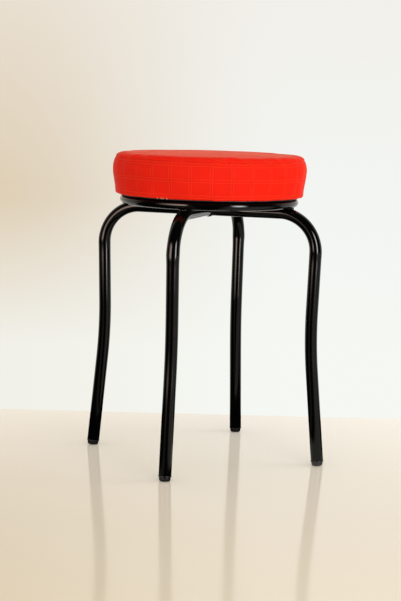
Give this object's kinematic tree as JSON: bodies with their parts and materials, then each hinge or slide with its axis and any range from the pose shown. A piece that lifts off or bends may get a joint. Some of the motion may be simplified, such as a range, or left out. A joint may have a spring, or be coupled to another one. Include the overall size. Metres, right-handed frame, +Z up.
{
  "type": "round upholstered stool",
  "caption": "Round stool with a thick cloth-covered cushion on a black steel tube frame, its bent legs splayed at the feet and crossing under a support ring.",
  "frame": {"origin": "on the floor, under the centre of the seat", "axes": "+Z up; X along the tube that makes the left and right legs, +X to the right leg; -Y to the front leg"},
  "size_m": [0.4112, 0.4112, 0.5029],
  "materials": {
    "frame_enamel": "black gloss stoving enamel",
    "plug_plastic": "moulded black polyethylene, slightly scuffed",
    "zinc_plate": "bright zinc plate",
    "hardboard": "thin hardboard, painted black",
    "plywood": "raw birch plywood",
    "seat_foam": "cream polyurethane foam",
    "red_cloth": "woven cotton with a self check, satin"
  },
  "bodies": {
    "root": {"leg_tube_left_right": "frame_enamel", "leg_tube_front": "frame_enamel", "leg_tube_back": "frame_enamel", "seat_ring": "frame_enamel", "ring_weld_right": "frame_enamel", "ring_weld_back": "frame_enamel", "ring_weld_left": "frame_enamel", "ring_weld_front": "frame_enamel", "centre_weld_front": "frame_enamel", "centre_weld_back": "frame_enamel", "seat_lug_1": "frame_enamel", "lug_weld_1": "frame_enamel", "lug_washer_1": "zinc_plate", "lug_screw_1": "zinc_plate", "seat_lug_2": "frame_enamel", "lug_weld_2": "frame_enamel", "lug_washer_2": "zinc_plate", "lug_screw_2": "zinc_plate", "seat_lug_3": "frame_enamel", "lug_weld_3": "frame_enamel", "lug_washer_3": "zinc_plate", "lug_screw_3": "zinc_plate", "seat_lug_4": "frame_enamel", "lug_weld_4": "frame_enamel", "lug_washer_4": "zinc_plate", "lug_screw_4": "zinc_plate", "foot_plug_right": "plug_plastic", "foot_plug_back": "plug_plastic", "foot_plug_left": "plug_plastic", "foot_plug_front": "plug_plastic", "base_panel": "hardboard", "seat_board": "plywood", "foam_pad": "seat_foam", "cover_side_panel": "red_cloth", "cover_top_panel": "red_cloth"}
  },
  "joints": []
}
